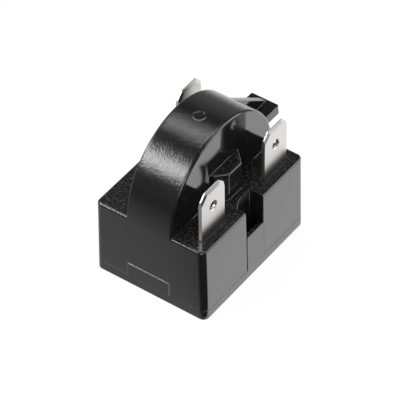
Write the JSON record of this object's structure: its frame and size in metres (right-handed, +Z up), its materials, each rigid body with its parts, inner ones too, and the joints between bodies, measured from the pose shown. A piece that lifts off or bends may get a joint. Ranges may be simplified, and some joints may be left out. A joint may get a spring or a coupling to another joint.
{
  "type": "compressor start relay",
  "caption": "Black moulded start relay with a half-round dome over a thermistor disc, a latched base cover, upright tab terminals and pin sockets in the underside.",
  "frame": {"origin": "centre of the box's flat underside", "axes": "+Z up out of the deck, -Y towards the plain front face, +Y towards the tongue, +X towards the side with two tab terminals"},
  "size_m": [0.0224, 0.0335, 0.0292],
  "materials": {
    "housing_plastic": "semi-gloss black",
    "cover_plastic": "semi-gloss black",
    "tinned_blade": "tinned, satin",
    "thermistor_ceramic": "silvered faces",
    "spring_steel": "rolled",
    "strip_brass": "rolled",
    "rivet_brass": "turned"
  },
  "bodies": {
    "root": {"housing": "housing_plastic", "bottom_cover": "cover_plastic", "front_right_blade": "tinned_blade", "rear_right_blade": "tinned_blade", "rear_left_blade": "tinned_blade", "ptc_disc": "thermistor_ceramic", "right_contact_spring": "spring_steel", "left_contact_spring": "spring_steel", "right_socket_clip": "spring_steel", "left_socket_clip": "spring_steel", "right_bus_strip": "strip_brass", "left_bus_strip": "strip_brass", "right_pin_socket": "strip_brass", "left_pin_socket": "strip_brass", "front_right_rivet": "rivet_brass", "rear_right_rivet": "rivet_brass", "rear_left_rivet": "rivet_brass", "right_spring_rivet": "rivet_brass", "left_spring_rivet": "rivet_brass"}
  },
  "joints": []
}
